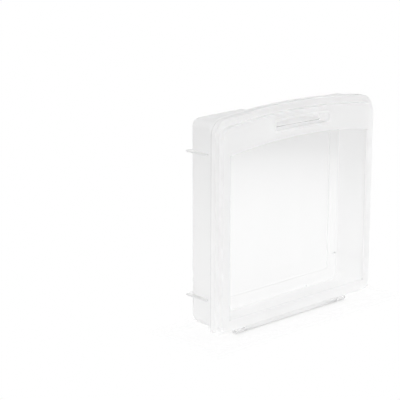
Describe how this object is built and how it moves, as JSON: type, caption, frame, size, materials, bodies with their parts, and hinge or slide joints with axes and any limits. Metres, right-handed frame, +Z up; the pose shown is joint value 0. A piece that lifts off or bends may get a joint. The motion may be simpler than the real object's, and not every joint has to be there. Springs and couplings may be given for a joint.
{
  "type": "scrapbook paper storage case",
  "caption": "Clear square case for craft paper: a hinged lid with a sunk window and a handle slot over a shallow tray with side fins, a finger recess and a nesting back.",
  "frame": {"origin": "on the floor, under the middle of the upright case", "axes": "+X to the right of someone facing the lid, +Y from the lid's face to the tray's back, +Z up towards the handle slot"},
  "size_m": [0.362, 0.08, 0.361],
  "materials": {
    "lid_plastic": "translucent polypropylene, frosted frame round a clear window",
    "tray_plastic": "translucent polypropylene, satin",
    "pin_plastic": "natural translucent plastic"
  },
  "bodies": {
    "tray": {"tray": "tray_plastic", "hinge_pin_left": "pin_plastic", "hinge_pin_right": "pin_plastic"},
    "lid": {"lid": "lid_plastic"}
  },
  "joints": [
    {"name": "lid_hinge", "type": "hinge", "parent": "tray", "child": "lid", "pos_m": [0, -0.0195, 0.0045], "axis": [1, 0, 0], "range_deg": [0, 180]}
  ]
}
